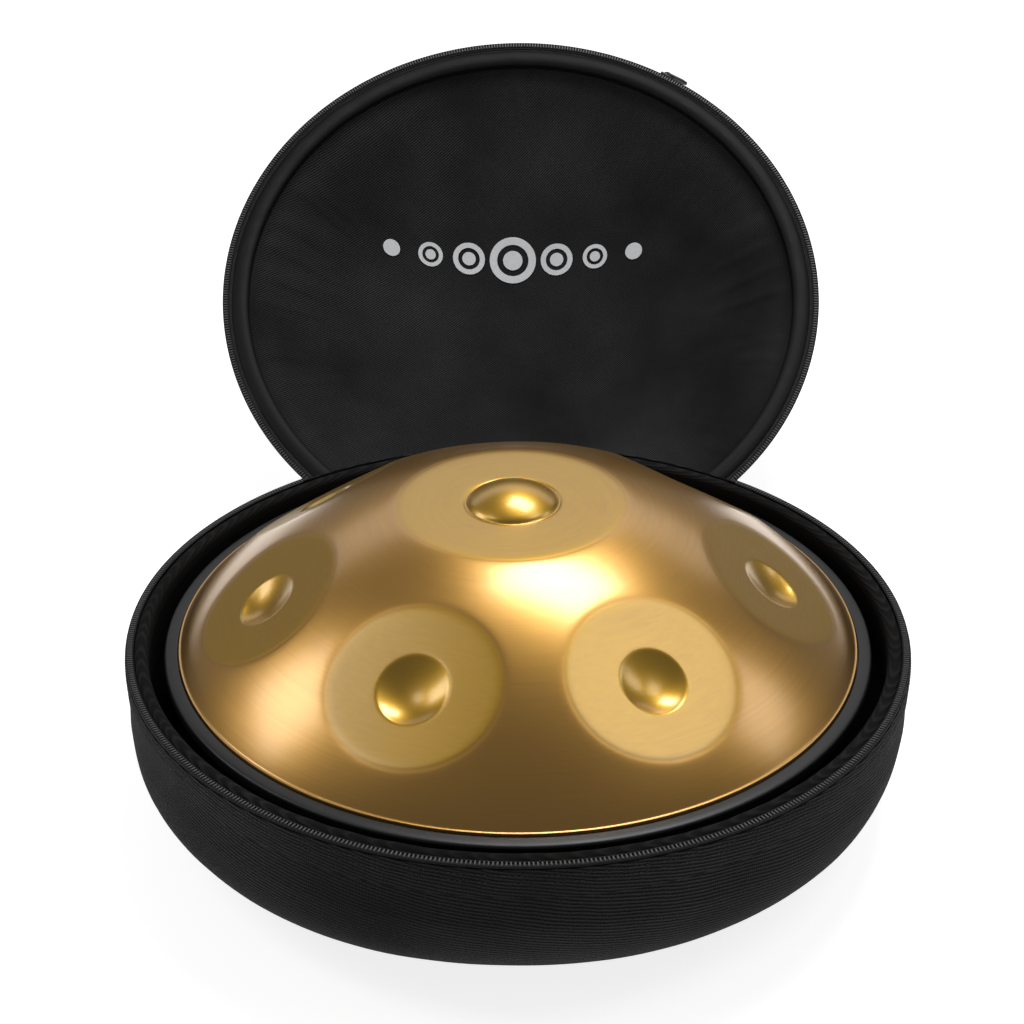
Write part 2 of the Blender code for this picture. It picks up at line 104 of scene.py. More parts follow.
def finish(work, name, material, body, replaced=(), smoothAngle=40):
    mesh = bpy.data.meshes.new(name)
    work.to_mesh(mesh)
    work.free()
    mesh.materials.append(material)
    mesh.shade_smooth()
    mesh.set_sharp_from_angle(angle=math.radians(smoothAngle))
    piece = bpy.data.objects.new(name, mesh)
    bpy.context.scene.collection.objects.link(piece)
    if body:
        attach(piece, body)
    if replaced:
        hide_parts(*replaced)
    return piece


# Corner cutting: each pass chamfers every corner of a closed outline, so three passes look round.
def rounded(outline, passes=3, share=0.25):
    points = [Vector(point) for point in outline]
    for _ in range(passes):
        cut = []
        for index, point in enumerate(points):
            after = points[(index + 1) % len(points)]
            cut.append(point.lerp(after, share))
            cut.append(point.lerp(after, 1 - share))
        points = cut
    return points


# A closed outline of (radius, height) points spun round the Z axis, all the way or over part of a turn.
def turned(outline, steps, first=0.0, sweep=math.tau):
    work = bmesh.new()
    corners = [work.verts.new((max(radius, 0.0), 0.0, height)) for radius, height in outline]
    whole = abs(sweep - math.tau) < 1e-6
    if whole:
        geometry = list(corners)
        for index, corner in enumerate(corners):
            after = corners[(index + 1) % len(corners)]
            if corner.co.x > 1e-6 or after.co.x > 1e-6:
                geometry.append(work.edges.new((corner, after)))
    else:
        geometry = [work.faces.new(corners)]
        bmesh.ops.rotate(work, cent=(0, 0, 0), matrix=Matrix.Rotation(first, 3, "Z"), verts=corners)
    bmesh.ops.spin(work, geom=geometry, cent=(0, 0, 0), axis=(0, 0, 1), dvec=(0, 0, 0),
                   angle=sweep, steps=steps, use_merge=whole)
    bmesh.ops.remove_doubles(work, verts=work.verts[:], dist=2e-6)
    bmesh.ops.recalc_face_normals(work, faces=work.faces[:])
    return work


def offsetLine(points, distance):
    shifted = []
    for index, point in enumerate(points):
        run = Vector(points[min(index + 1, len(points) - 1)]) - Vector(points[max(index - 1, 0)])
        run.normalize()
        shifted.append(Vector((point[0] - distance * run.y, point[1] + distance * run.x)))
    return shifted


def smoothStep(value):
    value = min(max(value, 0.0), 1.0)
    return value * value * (3 - 2 * value)


def softMin(first, second, softness):
    gap = (first - second) / softness
    if abs(gap) > 30:
        return min(first, second)
    return second - softness * math.log(1 + math.exp(-gap))


def aroundRim(radius, angle, height):
    return Vector((radius * math.sin(angle), -radius * math.cos(angle), height))


studio = dict(
    cameraPlace=(0.0050, -1.2472, 0.9096), cameraTilt=61.12, cameraTurn=0.43, lens=69.0, sensor=36,
    floorColour="#d0d0cf", floorGlow=0.82, floorRadius=9.0, world=0.14, target=(0, 0, 0.18),
    # each light is placed by the direction it lies in from the instrument; power in watts, size in metres
    lights=[
        dict(name="overhead", direction=(0.15, 0.33, 0.93), distance=1.9, size=(0.90, 0.65), power=21),
        dict(name="leftBox", direction=(-0.83, 0.05, 0.55), distance=1.8, size=(0.62, 0.60), power=4.9),
        dict(name="rightBox", direction=(0.86, 0.08, 0.50), distance=2.0, size=(0.60, 0.55), power=2.5),
        dict(name="rightHigh", direction=(0.56, -0.06, 0.83), distance=2.0, size=(0.80, 0.60), power=3.7),
        dict(name="leftHigh", direction=(-0.56, -0.12, 0.81), distance=2.0, size=(0.55, 0.40), power=1.9),
        dict(name="backGlow", direction=(0.00, 0.84, 0.54), distance=2.6, size=(4.20, 0.90), power=9.5),
    ],
)


def buildStudio():
    scene = bpy.context.scene
    camera = bpy.data.objects.new("camera", bpy.data.cameras.new("camera"))
    scene.collection.objects.link(camera)
    camera.location = studio["cameraPlace"]
    camera.rotation_euler = Euler((math.radians(studio["cameraTilt"]), 0, math.radians(studio["cameraTurn"])))
    camera.data.lens = studio["lens"]
    camera.data.sensor_width = studio["sensor"]
    scene.camera = camera

    world = bpy.data.worlds.new("studio")
    scene.world = world
    world.use_nodes = True
    background = world.node_tree.nodes["Background"]
    background.inputs["Color"].default_value = (1, 1, 1, 1)
    background.inputs["Strength"].default_value = studio["world"]

    target = Vector(studio["target"])
    for entry in studio["lights"]:
        lamp = bpy.data.lights.new(entry["name"], "AREA")
        lamp.shape = "RECTANGLE"
        lamp.size, lamp.size_y = entry["size"]
        lamp.energy = entry["power"]
        holder = bpy.data.objects.new(entry["name"], lamp)
        scene.collection.objects.link(holder)
        away = Vector(entry["direction"]).normalized()
        holder.location = target + away * entry["distance"]
        holder.rotation_euler = away.to_track_quat("Z", "Y").to_euler()

    work = bmesh.new()
    bmesh.ops.create_circle(work, cap_ends=True, segments=96, radius=studio["floorRadius"])
    paper, tree, shader = newMaterial("paper floor", 0.85, Specular_IOR_Level=0.1)
    fleck = addNode(tree, "ShaderNodeTexNoise", {"Scale": 3.0, "Detail": 2.0})
    near = srgb(studio["floorColour"])
    tone = mixColour(tree, fleck.outputs["Fac"], near, tuple(min(c * 1.02, 1.0) for c in near))
    tree.links.new(tone, shader.inputs["Base Color"])
    shader.inputs["Emission Color"].default_value = (1, 1, 1, 1)
    shader.inputs["Emission Strength"].default_value = studio["floorGlow"]
    finish(work, "floor", paper, None)
    scene.view_settings.view_transform = "Standard"
    print("studio ready")


buildStudio()


def noiseNode(tree, place, scale, detail, roughness=0.5):
    settings = {"Scale": scale, "Detail": detail, "Roughness": roughness}
    return addNode(tree, "ShaderNodeTexNoise", settings, {"Vector": place}).outputs["Fac"]


def bumpNode(tree, shader, strength, distance, height, under=None):
    links = {"Height": height}
    if under is not None:
        links["Normal"] = under
    bump = addNode(tree, "ShaderNodeBump", {"Strength": strength, "Distance": distance}, links)
    normal = bump.outputs["Normal"]
    tree.links.new(normal, shader.inputs["Normal"])
    return normal


# Position on the case as cloth lengths, from the piece's own coordinates: metres round the case and metres up.
def clothLengths(tree, place, radius):
    split = addNode(tree, "ShaderNodeSeparateXYZ", links={"Vector": place}).outputs
    back = sumNode(tree, "MULTIPLY", split["Y"], -1.0)
    turn = sumNode(tree, "ARCTAN2", split["X"], back)
    return sumNode(tree, "MULTIPLY", turn, radius), split["Z"]


# Woven polyester with a raised twill rib: reads as near-black cloth whose ribs catch a thin grey light.
# The real rib is about 1 mm, too fine to show, so it is drawn at ribPitch. It climbs the case by whole ribs.
# A cloth given toWorld is laid flat on the lid's rim plane and loses its ribs where it stands steep.
def polyesterTwill(name, ribPitch, climb, lift, toWorld=None, dark="#020202", light="#2c2c2d"):
    weave = dict(wrapRadius=0.289, threadPitch=0.0016, wanderScale=14.0, wander=0.0080, ribSharpness=2.2,
                 ribShare=0.8, fuzzScale=700.0, fuzzShare=0.3, cloudScale=7.0, cloudGain=1.8, cloudFloor=-0.35,
                 threadHeight=0.15, fuzzHeight=0.7, steep=0.45, level=0.85)
    material, tree, shader = newMaterial(name, 0.86, Specular_IOR_Level=0.15)
    coordinates = addNode(tree, "ShaderNodeTexCoord").outputs
    place = coordinates["Object"]
    if toWorld is not None:
        lying = {"Location": toWorld.translation, "Rotation": toWorld.to_euler()}
        flat = addNode(tree, "ShaderNodeMapping", lying, {"Vector": place}, vector_type="TEXTURE")
        place = flat.outputs["Vector"]
        split = addNode(tree, "ShaderNodeSeparateXYZ", links={"Vector": place}).outputs
        along, up, slope = split["X"], split["Y"], climb
        rimNormal = toWorld.to_3x3() @ Vector((0, 0, 1))
        facing = addNode(tree, "ShaderNodeVectorMath", {1: rimNormal}, {0: coordinates["Normal"]},
                         operation="DOT_PRODUCT").outputs["Value"]
        facing = addNode(tree, "ShaderNodeMapRange", {"From Min": weave["steep"], "From Max": weave["level"]},
                         {"Value": sumNode(tree, "ABSOLUTE", facing)}).outputs["Result"]
    else:
        along, up = clothLengths(tree, place, weave["wrapRadius"])
        slope = climb * ribPitch / (math.tau * weave["wrapRadius"])
        facing = 1.0
    wander = noiseNode(tree, place, weave["wanderScale"], 4.0)
    slanted = sumNode(tree, "MULTIPLY_ADD", along, slope, up)
    bent = sumNode(tree, "MULTIPLY_ADD", wander, weave["wander"], slanted)
    wave = sumNode(tree, "SINE", sumNode(tree, "MULTIPLY", bent, math.tau / ribPitch))
    threads = sumNode(tree, "SINE", sumNode(tree, "MULTIPLY", along, math.tau / weave["threadPitch"]))
    rib = sumNode(tree, "MULTIPLY", sumNode(tree, "MULTIPLY_ADD", wave, 0.5, 0.5), facing)
    fuzz = noiseNode(tree, place, weave["fuzzScale"], 3.0)
    cloudy = noiseNode(tree, place, weave["cloudScale"], 5.0)
    patch = sumNode(tree, "MULTIPLY_ADD", cloudy, weave["cloudGain"], weave["cloudFloor"])
    shade = sumNode(tree, "MULTIPLY", sumNode(tree, "POWER", rib, weave["ribSharpness"]), weave["ribShare"])
    shade = sumNode(tree, "MULTIPLY_ADD", fuzz, weave["fuzzShare"], shade)
    shade = sumNode(tree, "MULTIPLY", shade, patch)
    tree.links.new(mixColour(tree, shade, srgb(dark), srgb(light)), shader.inputs["Base Color"])
    height = sumNode(tree, "MULTIPLY", rib, patch)
    height = sumNode(tree, "MULTIPLY_ADD", threads, weave["threadHeight"], height)
    height = sumNode(tree, "MULTIPLY_ADD", fuzz, weave["fuzzHeight"], height)
    bumpNode(tree, shader, 0.7, lift, height)
    return material


# Satin lining cloth: smoother and a little shinier than the twill, so folds show as soft grey bands.
def satinLining(name, roughness, dark="#030303", light="#101011", gloss=0.24):
    material, tree, shader = newMaterial(name, roughness, Specular_IOR_Level=gloss)
    place = addNode(tree, "ShaderNodeTexCoord").outputs["Object"]
    grain = noiseNode(tree, place, 1100.0, 2.0)
    cloudy = noiseNode(tree, place, 14.0, 3.0)
    shade = sumNode(tree, "MULTIPLY", grain, cloudy)
    tree.links.new(mixColour(tree, shade, srgb(dark), srgb(light)), shader.inputs["Base Color"])
    bumpNode(tree, shader, 0.45, 0.0003, grain)
    return material


# Closed-cell foam: dull, with fine pores.
def cellFoam():
    material, tree, shader = newMaterial("closed cell foam", 0.95, Specular_IOR_Level=0.2)
    place = addNode(tree, "ShaderNodeTexCoord").outputs["Object"]
    pores = addNode(tree, "ShaderNodeTexVoronoi", {"Scale": 700.0}, {"Vector": place})
    tone = mixColour(tree, pores.outputs["Distance"], srgb("#1c1c1e"), srgb("#3a3a3d"))
    tree.links.new(tone, shader.inputs["Base Color"])
    bumpNode(tree, shader, 0.6, 0.0004, pores.outputs["Distance"])
    return material


# Moulded parts with faint specks: rubber, nylon and blackened metal share it and differ in colour and gloss.
def mouldedFinish(name, colour, speck, roughness, metallic=0.0, grain=600.0, depth=0.00008, **uniform):
    material, tree, shader = newMaterial(name, roughness, metallic, **uniform)
    place = addNode(tree, "ShaderNodeTexCoord").outputs["Object"]
    fine = noiseNode(tree, place, grain, 3.0)
    wide = noiseNode(tree, place, 18.0, 3.0)
    half = sumNode(tree, "MULTIPLY", wide, 0.5)
    blend = sumNode(tree, "MULTIPLY_ADD", fine, 0.5, half)
    tree.links.new(mixColour(tree, blend, srgb(colour), srgb(speck)), shader.inputs["Base Color"])
    rough = sumNode(tree, "MULTIPLY_ADD", wide, 0.16, roughness - 0.08)
    tree.links.new(rough, shader.inputs["Roughness"])
    bumpNode(tree, shader, 0.4, depth, fine)
    return material


# Nitrided steel, heat-coloured gold and brushed round the dome: a satin metal with warm lights, fine streaks,
# and painted shade along the crease round each note.
def nitridedSteel():
    look = dict(dome="#ce9b42", field="#c69a20", wearAndCreaseShade="#a07231", wear=0.9, roughness=0.35, roughRange=0.10,
                streak=0.0011, streakTurns=2.5, streakDepth=0.0002, blotchScale=11.0, border=0.55,
                creaseSharpness=-7.0, creaseShade=0.09, creaseDepth=0.00008)
    material, tree, shader = newMaterial("nitrided steel", look["roughness"], 1.0, Coat_Weight=0.8,
                                         Coat_Roughness=0.22, Coat_IOR=1.8)
    place = addNode(tree, "ShaderNodeTexCoord").outputs["Object"]
    split = addNode(tree, "ShaderNodeSeparateXYZ", links={"Vector": place}).outputs
    turn = sumNode(tree, "ARCTAN2", split["X"], sumNode(tree, "MULTIPLY", split["Y"], -1.0))
    reach = addNode(tree, "ShaderNodeVectorMath", links={0: place}, operation="LENGTH").outputs["Value"]
    polar = addNode(tree, "ShaderNodeCombineXYZ", links={"X": turn, "Y": reach, "Z": split["Z"]})
    squeeze = {"Scale": (look["streakTurns"], 1 / look["streak"], 1 / look["streak"])}
    squeezed = addNode(tree, "ShaderNodeMapping", squeeze, {"Vector": polar.outputs["Vector"]})
    streaks = noiseNode(tree, squeezed.outputs["Vector"], 1.0, 3.0, 0.6)
    blotch = noiseNode(tree, place, look["blotchScale"], 4.0)
    # millimetres below the plain dome: nought along the border of a note
    depth = addNode(tree, "ShaderNodeAttribute", attribute_name="noteDepth").outputs["Fac"]
    tone = addNode(tree, "ShaderNodeMapRange", {"From Min": -look["border"], "From Max": look["border"]},
                   {"Value": depth}, interpolation_type="SMOOTHSTEP").outputs["Result"]
    # the crease is a narrow band along each note's border: the bump cuts it as a faint groove, and the colour
    # is darkened there as painted shade
    crease = sumNode(tree, "MULTIPLY", depth, depth)
    crease = sumNode(tree, "EXPONENT", sumNode(tree, "MULTIPLY", crease, look["creaseSharpness"]))
    base = mixColour(tree, tone, srgb(look["dome"]), srgb(look["field"]))
    wear = sumNode(tree, "MULTIPLY", blotch, streaks)
    wear = sumNode(tree, "MULTIPLY", wear, look["wear"])
    # the crease band mixes in the worn colour as painted shade; the blotchy streaks before it are wear
    wear = sumNode(tree, "MULTIPLY_ADD", crease, look["creaseShade"], wear)
    tree.links.new(mixColour(tree, wear, base, srgb(look["wearAndCreaseShade"])), shader.inputs["Base Color"])
    smoothest = look["roughness"] - look["roughRange"] / 2
    rough = sumNode(tree, "MULTIPLY_ADD", streaks, look["roughRange"], smoothest)
    rough = sumNode(tree, "MULTIPLY_ADD", tone, look["roughRange"] / 2, rough)
    tree.links.new(rough, shader.inputs["Roughness"])
    brushed = bumpNode(tree, shader, 0.12, look["streakDepth"], streaks)
    bumpNode(tree, shader, 1.0, look["creaseDepth"], sumNode(tree, "MULTIPLY", crease, -1.0), brushed)
    return material


hingePlace = Vector(joints["lid_hinge"]["pos_m"])
lidTurn = math.radians(joints["lid_hinge"]["range_deg"][1])
# Takes a point of the shut lid to where it lies at rest, thrown open behind the base.
lidOpen = Matrix.Translation(hingePlace) @ Matrix.Rotation(-lidTurn, 4, "X") @ Matrix.Translation(-hingePlace)
lidSeat = 0.1325

wallTwill = polyesterTwill("woven polyester wall", 0.0028, 90, 0.0018, dark="#000000", light="#373738")
lidTwill = polyesterTwill("woven polyester lid", 0.0030, 0.35, 0.0007, toWorld=lidOpen)
liningTwill = polyesterTwill("lining twill", 0.0026, 0.9, 0.0010, lidOpen, "#030303", "#4c4c4d")
rollSatin = satinLining("satin binding", 0.58, "#030303", "#101011", 0.20)
rollTwill = polyesterTwill("binding twill", 0.0022, 110, 0.0006, dark="#030303", light="#242425")
wallSatin = satinLining("satin lining", 0.6)
tapeWeave = satinLining("zip tape weave", 0.6, "#040404", "#141415")
padFoam = cellFoam()
edgeRubber = mouldedFinish("moulded edge rubber", "#0d0e0f", "#191a1c", 0.40, Specular_IOR_Level=0.42)
pullRubber = mouldedFinish("moulded pull rubber", "#0b0b0c", "#141415", 0.5)
coilNylon = mouldedFinish("zip coil nylon", "#38383a", "#68686a", 0.40, Specular_IOR_Level=0.45)
blackMetal = mouldedFinish("blackened zinc", "#1b1b1d", "#2c2c30", 0.34, 0.85)
flangeGlue = mouldedFinish("flange adhesive", "#8f8877", "#a39b88", 0.5)
threadCotton = mouldedFinish("sewing thread", "#101011", "#1e1e20", 0.7)
printInk = mouldedFinish("heat-pressed print", "#b9bcbf", "#dfe1e3", 0.6, grain=260.0, depth=0.00015)
goldSteel = nitridedSteel()
print("materials ready")


pan = dict(
    radius=0.2507, joint=0.1195, shoulder=0.0054, rise=0.1156, topPower=2.14, topFullness=0.959,
    drop=0.0982, lowPower=1.73, lowFullness=0.91,
    steel=0.0012, flangeGap=0.0005, flange=0.2585, bend=0.2516,
    plateau=0.2300, plateauLean=0.0150, plateauSoft=0.0007,
    bumpSpot=(-0.0040, 0.0015), bumpRadius=0.0335, bumpRise=0.0120, bumpPower=0.9, bumpReach=0.05,
    grooveShift=0.0004, grooveWidth=0.0016, grooveDepth=0.0009,
    ring=0.1856, ringFront=0.1795, cut=0.0060, dish=0.39, fieldSoft=0.0004, fieldReach=0.085,
    dimples=(0.0230, 0.0248, 0.0236, 0.0230, 0.0228, 0.0228, 0.0228), dimpleDepth=0.0062, dimpleSoft=0.00028,
    dimpleReach=0.04, gridEdge=0.2485, edgeStep=0.00036, lipEdge=0.25125, lipRise=0.0010, lipTurn=0.0012,
    lipSoft=0.00025, turnStep=0.0002, flangeStart=0.2550,
    middle=math.radians(4.0), frontStep=math.radians(53.2), frontCount=4, count=7, segments=288, rings=84,
)


def topDome(radius):
    share = min(radius / pan["radius"], 1.0) ** pan["topPower"]
    return pan["joint"] + pan["shoulder"] + pan["rise"] * (1 - share) ** pan["topFullness"]


def bottomDome(radius):
    share = (radius / pan["radius"]) ** pan["lowPower"]
    return pan["joint"] - pan["shoulder"] - pan["drop"] * (1 - share) ** pan["lowFullness"]


# Four fields lie in front in even steps and the rest evenly round the back; the two front ones sit further in.
def toneFields():
    nudge = 0.0005
    backStep = (math.tau - pan["frontStep"] * (pan["frontCount"] - 1)) / (pan["count"] - pan["frontCount"] + 1)
    first = pan["middle"] - pan["frontStep"] * (pan["frontCount"] - 1) / 2
    fields = []
    for index in range(pan["count"]):
        inFront = index < pan["frontCount"]
        angle = first + pan["frontStep"] * index if inFront else first - backStep * (pan["count"] - index)
        ring = pan["ringFront"] if abs(angle) < pan["frontStep"] else pan["ring"]
        outward = aroundRim(1, angle, 0).to_2d()
        slope = (topDome(ring + nudge) - topDome(ring - nudge)) / (2 * nudge)
        fields.append(dict(centre=outward * ring, outward=outward, height=topDome(ring), slope=slope,
                           stretch=math.hypot(1, slope), dimple=pan["dimples"][index]))
    return fields


# Distances from a field's middle, measured on its own face: along the outward line, and in all.
def onField(spot, field):
    offset = spot - field["centre"]
    run = offset.dot(field["outward"])
    return run, math.hypot(offset.cross(field["outward"]), run * field["stretch"])


# Height of the struck surface at a point of the plan, and how far below the plain dome it is cut, in mm.
def struckSurface(spot, fields):
    dome = topDome(spot.length)
    plateau = pan["plateau"] + pan["plateauLean"] * spot.x
    height = softMin(dome, plateau, pan["plateauSoft"])
    depth = dome - plateau
    reach = (spot - Vector(pan["bumpSpot"])).length
    if reach < pan["bumpReach"]:
        bump = pan["bumpRise"] * max(1 - (reach / pan["bumpRadius"]) ** 2, 0.0) ** pan["bumpPower"]
        groove = math.exp(-((reach - pan["bumpRadius"] - pan["grooveShift"]) / pan["grooveWidth"]) ** 2)
        height += bump - pan["grooveDepth"] * groove
    for field in fields:
        if (spot - field["centre"]).length > pan["fieldReach"]:
            continue
        run, across = onField(spot, field)
        stretch = field["stretch"]
        flat = field["height"] + field["slope"] * run - pan["cut"] * stretch
        dished = flat + pan["dish"] * stretch * (run * stretch) ** 2
        depth = max(depth, dome - dished)
        height = softMin(height, dished, pan["fieldSoft"])
        bowl = flat + pan["dimpleDepth"] * stretch * ((across / field["dimple"]) ** 2 - 1)
        height = softMin(height, bowl, pan["dimpleSoft"] * stretch)
    deepest = 0.01
    return height, min(max(depth, -deepest), deepest) * 1000


def buildTopShell():
    fields = toneFields()
    work = bmesh.new()
    radii = [pan["gridEdge"] * (step / pan["rings"]) for step in range(pan["rings"] + 1)]
    radii += [pan["gridEdge"] + pan["edgeStep"] * step for step in range(1, 8)]
    radii += [pan["lipEdge"], pan["lipEdge"] + pan["turnStep"], pan["bend"], pan["bend"] + 0.0003,
              pan["flangeStart"], pan["flange"]]
    line = [work.verts.new((radius, 0, 0)) for radius in radii]
    edges = [work.edges.new(pair) for pair in zip(line, line[1:])]
    bmesh.ops.spin(work, geom=line + edges, cent=(0, 0, 0), axis=(0, 0, 1), dvec=(0, 0, 0),
                   angle=math.tau, steps=pan["segments"], use_merge=True)
    bmesh.ops.remove_doubles(work, verts=work.verts[:], dist=1e-6)

    # The rims of the dimples and the bump are tight curves, so the mesh is made finer there.
    bumpMiddle = Vector(pan["bumpSpot"])
    for width in (0.0050, 0.0026):
        near = []
        for edge in work.edges:
            spot = ((edge.verts[0].co + edge.verts[1].co) / 2).to_2d()
            gaps = [abs((spot - bumpMiddle).length - pan["bumpRadius"])]
            gaps += [abs(onField(spot, field)[1] - field["dimple"]) for field in fields
                     if (spot - field["centre"]).length < pan["dimpleReach"]]
            if min(gaps) < width:
                near.append(edge)
        bmesh.ops.subdivide_edges(work, edges=near, cuts=1, use_grid_fill=True)

    # The dome ends in a narrow flat lip whose edge turns down to the flange.
    lip = pan["joint"] + pan["shoulder"] + pan["lipRise"]
    flangeTop = pan["joint"] + pan["flangeGap"] + pan["steel"]
    depthLayer = work.verts.layers.float.new("noteDepth")
    for vert in work.verts:
        spot = vert.co.to_2d()
        radius = spot.length
        if radius > pan["bend"] + 0.0001:
            vert.co.z = flangeTop
        elif radius > pan["lipEdge"] - 0.0001:
            turn = (radius - pan["lipEdge"]) / (pan["bend"] - pan["lipEdge"])
            vert.co.z = lip - pan["lipTurn"] * max(turn, 0.0) ** 2
        else:
            height, depth = struckSurface(spot, fields)
            vert.co.z = -softMin(-height, -lip, pan["lipSoft"])
            vert[depthLayer] = depth
    bmesh.ops.recalc_face_normals(work, faces=work.faces[:])
    if sum(face.normal.z for face in work.faces) < 0:
        bmesh.ops.reverse_faces(work, faces=work.faces[:])
    shell = finish(work, "playingDome", goldSteel, "instrument", ["top_shell"], 60)
    sheet = shell.modifiers.new("sheet", "SOLIDIFY")
    sheet.thickness = pan["steel"]
    sheet.offset = -1
    return shell


def buildBottomShell():
    port = dict(mouth=0.0600, lip=0.0520, roll=0.0080, neck=0.0440, neckFoot=0.0340, top=0.0450, steps=44)
    flange = pan["joint"] - pan["flangeGap"] - pan["steel"]
    curve = [(pan["flange"], flange), (pan["flangeStart"], flange), (0.2520, flange),
             (0.2511, flange - 0.0008), (pan["radius"], pan["joint"] - pan["shoulder"])]
    portAngle = math.asin(port["mouth"] / pan["radius"])
    for step in range(1, port["steps"] + 1):
        angle = math.pi / 2 + (portAngle - math.pi / 2) * step / port["steps"]
        radius = pan["radius"] * math.sin(angle)
        curve.append((radius, bottomDome(radius)))
    low = bottomDome(port["lip"])
    for step in range(9):
        angle = math.pi / 2 * step / 8
        curve.append((port["lip"] - port["roll"] * math.sin(angle),
                      low + port["roll"] * (1 - math.cos(angle))))
    curve += [(port["neck"], port["neckFoot"]), (port["neck"], port["top"])]
    inside = offsetLine(curve, -pan["steel"])
    inside[0] = Vector((pan["flange"], flange + pan["steel"]))
    work = turned([Vector(p) for p in curve] + inside[::-1], 180)
    finish(work, "soundPortDome", goldSteel, "instrument", ["bottom_shell"], 50)


def buildEdgeTrim():
    trim = dict(radius=0.2622, top=0.0050, slot=0.0020, tip=0.2521)
    upper = [(0.2588, trim["slot"]), (trim["tip"], trim["slot"]), (trim["tip"] - 0.0001, 0.0042),
             (trim["tip"] + 0.0006, trim["top"]), (0.2580, trim["top"] - 0.0002),
             (0.2612, trim["top"] - 0.0008),
             (trim["radius"], trim["top"] - 0.0024), (trim["radius"], 0.0014)]
    lower = [(radius, -height) for radius, height in upper[::-1]]
    outline = [(radius, pan["joint"] + height) for radius, height in upper + lower]
    work = turned(rounded(outline, 2, 0.2), 240)
    finish(work, "edgeTrim", edgeRubber, "instrument", ["rim_trim"], 50)


buildTopShell()
buildBottomShell()
buildEdgeTrim()
print("instrument ready")


case = dict(
    radius=0.2890, fillet=0.0980, floorRadius=0.1935, belly=math.radians(80), upright=0.1045,
    wallTop=0.1283, padTop=0.1210, edgeAngle=math.radians(4),
    cloth=0.0015, foam=0.0120, gap=0.0003, segments=216, wallSteps=24,
)
zipper = dict(end=math.radians(140), inner=0.2843, outer=0.2888, middle=0.28655, pitch=0.0028,
              tooth=(0.0040, 0.0013, 0.0014), cords=(("Outer", 0.28885), ("Inner", 0.28425)), cordRadius=0.0006)


def baseWallLine(depth, top):
    radius = case["fillet"] - depth
    line = []
    for step in range(case["wallSteps"] + 1):
        angle = case["edgeAngle"] + (case["belly"] - case["edgeAngle"]) * step / case["wallSteps"]
        line.append(Vector((case["floorRadius"] + radius * math.sin(angle),
                            case["fillet"] - radius * math.cos(angle))))
    line.append(Vector((case["radius"] - depth + 0.0006, (line[-1].y + case["upright"]) / 2)))
    for share in (0.0, 0.33, 0.66, 1.0):
        line.append(Vector((case["radius"] - depth, case["upright"] + (top - case["upright"]) * share)))
    return line


# Cloth never lies dead flat: low, broad swells move each point along its own outward direction.
def ruffle(work, amount, scale, seed, keepLow=0.0, keepHigh=1.0):
    for vert in work.verts:
        flatWay = Vector((vert.co.x, vert.co.y, 0))
        if flatWay.length < 1e-6:
            continue
        fade = smoothStep((vert.co.z - keepLow) / 0.02) * smoothStep((keepHigh - vert.co.z) / 0.02)
        swell = noise.noise(vert.co * scale + Vector((seed, seed * 1.7, seed * 0.3)))
        swell += 0.4 * noise.noise(vert.co * scale * 2.7 + Vector((seed * 2.1, 0, seed)))
        vert.co += flatWay.normalized() * (amount * fade * swell)


# The stuffed lower edge bellies out of the plain curve: most on the left, least in front and behind.
def belly(work):
    swell = dict(least=0.0025, left=0.0050, right=0.0026, spread=1.6, low=0.003, rise=0.026, high=0.088,
                 fall=0.045)
    for vert in work.verts:
        flatWay = Vector((vert.co.x, vert.co.y, 0))
        if flatWay.length < 1e-6:
            continue
        across = vert.co.x / flatWay.length
        extra = swell["left"] if across < 0 else swell["right"]
        amount = swell["least"] + extra * smoothStep(abs(across) * swell["spread"])
        fade = smoothStep((vert.co.z - swell["low"]) / swell["rise"])
        fade *= smoothStep((swell["high"] - vert.co.z) / swell["fall"])
        vert.co += flatWay.normalized() * (amount * fade)


def baseLayer(depths, top, segments):
    near, far = depths
    return turned(baseWallLine(near, top) + baseWallLine(far, top)[::-1], segments)


def buildBase():
    layers = dict(outer=(0.0, case["cloth"]))
    layers["foam"] = (case["cloth"] + case["gap"], case["cloth"] + case["gap"] + case["foam"])
    layers["lining"] = (layers["foam"][1] + case["gap"], layers["foam"][1] + case["gap"] + case["cloth"])

    work = baseLayer(layers["outer"], case["wallTop"], case["segments"])
    ruffle(work, 0.0011, 9.0, 3.1, 0.012, 0.125)
    belly(work)
    wall = finish(work, "baseWallCloth", wallTwill, "case_base", ["base_outer_wall"])

    work = baseLayer(layers["foam"], case["padTop"], 96)
    pad = finish(work, "baseWallPad", padFoam, "case_base", ["base_foam_wall"])

    work = baseLayer(layers["lining"], case["padTop"], case["segments"])
    lining = finish(work, "baseWallLining", wallSatin, "case_base", ["base_lining_wall"])
    return layers


def buildBaseRoll(layers):
    roll = dict(shoulder=0.1258, crown=0.0046, fullness=0.8, foot=0.1236, puckerScale=14, pucker=0.0006,
                steps=16)
    inner = case["radius"] - layers["lining"][1]
    outer = zipper["inner"] - case["gap"]
    middle, half = (inner + outer) / 2, (outer - inner) / 2
    crown = []
    for step in range(roll["steps"] + 1):
        angle = math.pi * step / roll["steps"]
        rise = roll["crown"] * math.sin(angle) ** roll["fullness"]
        crown.append((middle + half * math.cos(angle), roll["shoulder"] + rise))
    under = case["padTop"] + case["gap"]
    wallInside = case["radius"] - layers["foam"][0]
    foot = [(inner, roll["foot"]), (inner, under), (wallInside, under),
            (wallInside, roll["shoulder"] - 0.0002)]
    work = turned([Vector(p) for p in crown + foot], 360)
    # the binding is gathered over the foam, which leaves shallow puckers
    for vert in work.verts:
        angle = math.atan2(vert.co.x, -vert.co.y)
        lift = smoothStep((vert.co.z - roll["shoulder"]) / 0.003)
        gather = noise.noise(Vector((math.cos(angle), math.sin(angle), 0)) * roll["puckerScale"])
        vert.co.z += lift * roll["pucker"] * gather
    piece = finish(work, "baseRimRoll", rollTwill, "case_base", ["base_rim_roll"])


